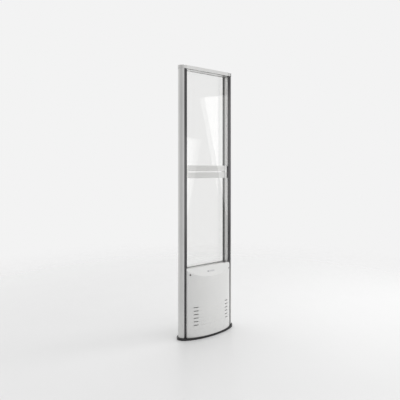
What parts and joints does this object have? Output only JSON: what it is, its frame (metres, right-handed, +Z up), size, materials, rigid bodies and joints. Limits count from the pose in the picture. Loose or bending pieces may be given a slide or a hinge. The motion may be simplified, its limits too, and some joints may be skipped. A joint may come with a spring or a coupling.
{
  "type": "entrance gate pedestal",
  "caption": "Free-standing entrance gate pedestal: clear twin-sheet panel between aluminium posts on a bowed foot with pull-off covers over the people-sensing electronics.",
  "frame": {"origin": "middle of the base plate's underside, on the floor", "axes": "+X along the width, -Y out of the front face, +Z up"},
  "size_m": [0.437, 0.166, 1.7],
  "materials": {
    "anodised_aluminium": "satin clear anodised, fine vertical extrusion grain",
    "black_channel": "glossy black extruded plastic",
    "clear_acrylic": "clear polished acrylic sheet",
    "bar_enamel": "pale grey satin",
    "cover_plastic": "light grey moulded plastic, very fine texture",
    "base_enamel": "black powder coat",
    "smoked_lens": "dark infra-red window",
    "badge_plastic": "plain grey pill badge, blank",
    "galvanised_steel": "zinc-plated sheet steel",
    "zinc_screw": "bright zinc",
    "circuit_board": "green solder mask with fitted parts",
    "black_plastic": "black moulded",
    "copper_loop": "bare copper rod",
    "red_button": "red moulded",
    "rubber": "black rubber"
  },
  "bodies": {
    "pedestal": {"base_plate": "base_enamel", "cable_grommet": "rubber", "left_post": "anodised_aluminium", "left_end_cap": "anodised_aluminium", "left_crossbar_block": "anodised_aluminium", "left_foot_plug": "galvanised_steel", "left_corner_bracket": "galvanised_steel", "left_cover_bracket": "galvanised_steel", "left_front_foot_bolt": "zinc_screw", "left_rear_foot_bolt": "zinc_screw", "left_front_channel": "black_channel", "left_rear_channel": "black_channel", "left_beam_module": "black_plastic", "upper_loop_left_leg": "copper_loop", "lower_loop_left_leg": "copper_loop", "right_post": "anodised_aluminium", "right_end_cap": "anodised_aluminium", "right_crossbar_block": "anodised_aluminium", "right_foot_plug": "galvanised_steel", "right_corner_bracket": "galvanised_steel", "right_cover_bracket": "galvanised_steel", "right_front_foot_bolt": "zinc_screw", "right_rear_foot_bolt": "zinc_screw", "right_front_channel": "black_channel", "right_rear_channel": "black_channel", "right_beam_module": "black_plastic", "upper_loop_right_leg": "copper_loop", "lower_loop_right_leg": "copper_loop", "top_bar": "anodised_aluminium", "lower_rail": "anodised_aluminium", "front_top_seal": "black_channel", "rear_top_seal": "black_channel", "front_sheet": "clear_acrylic", "rear_sheet": "clear_acrylic", "upper_crossbar": "bar_enamel", "lower_crossbar": "bar_enamel", "upper_loop_bottom_span": "copper_loop", "upper_loop_top_span": "copper_loop", "lower_loop_bottom_span": "copper_loop", "lower_loop_top_span": "copper_loop", "chassis_plate": "galvanised_steel", "power_supply": "galvanised_steel", "transceiver_board": "circuit_board", "terminal_block": "black_plastic", "sounder": "black_plastic", "counter_module": "black_plastic", "power_switch_body": "black_plastic", "counter_window": "smoked_lens"},
    "front_cover": {"front_cover": "cover_plastic", "front_badge": "badge_plastic", "left_beam_lens": "smoked_lens", "right_beam_lens": "smoked_lens"},
    "rear_cover": {"rear_cover": "cover_plastic"},
    "power_rocker": {"power_rocker": "red_button"},
    "reset_button": {"reset_button": "red_button"}
  },
  "joints": [
    {"name": "front_cover_pull", "type": "slide", "parent": "pedestal", "child": "front_cover", "axis": [0, -1, 0], "range_m": [0, 0.15]},
    {"name": "rear_cover_pull", "type": "slide", "parent": "pedestal", "child": "rear_cover", "axis": [0, 1, 0], "range_m": [0, 0.15]},
    {"name": "power_rocker_tilt", "type": "hinge", "parent": "pedestal", "child": "power_rocker", "pos_m": [0.108, -0.026, 0.15], "axis": [1, 0, 0], "range_deg": [0, 16]},
    {"name": "reset_button_press", "type": "slide", "parent": "pedestal", "child": "reset_button", "axis": [0, 1, 0], "range_m": [0, 0.0025], "stiffness_N_per_m": 400}
  ]
}
